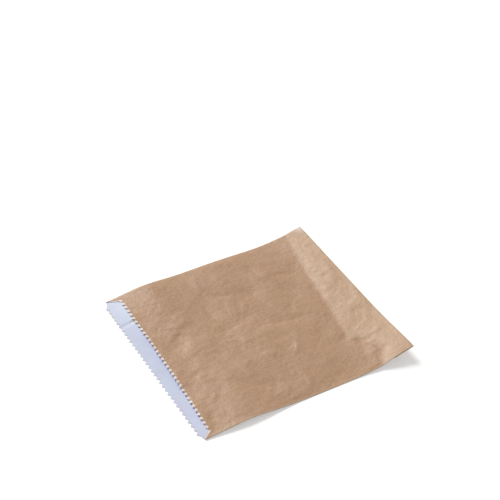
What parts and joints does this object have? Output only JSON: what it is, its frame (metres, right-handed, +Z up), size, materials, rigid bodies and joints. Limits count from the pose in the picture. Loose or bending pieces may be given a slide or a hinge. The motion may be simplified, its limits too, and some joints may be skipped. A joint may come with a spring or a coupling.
{
  "type": "greaseproof paper bag",
  "caption": "Flat two-ply paper bag, brown kraft outside and white greaseproof inside, with a toothed open mouth and a folded, pasted closed end.",
  "frame": {"origin": "on the table, under the middle of the lying bag", "axes": "+X from the open mouth to the closed end, +Y to the far side of the picture, +Z up through the front panel"},
  "size_m": [0.216, 0.2, 0.013],
  "materials": {
    "kraft_paper": "brown machine-glazed kraft, soft sheen, faint fibre streaks",
    "greaseproof_paper": "cool white greaseproof paper, smooth and slightly see-through"
  },
  "bodies": {
    "root": {"kraft_outer": "kraft_paper", "greaseproof_liner": "greaseproof_paper"}
  },
  "joints": []
}
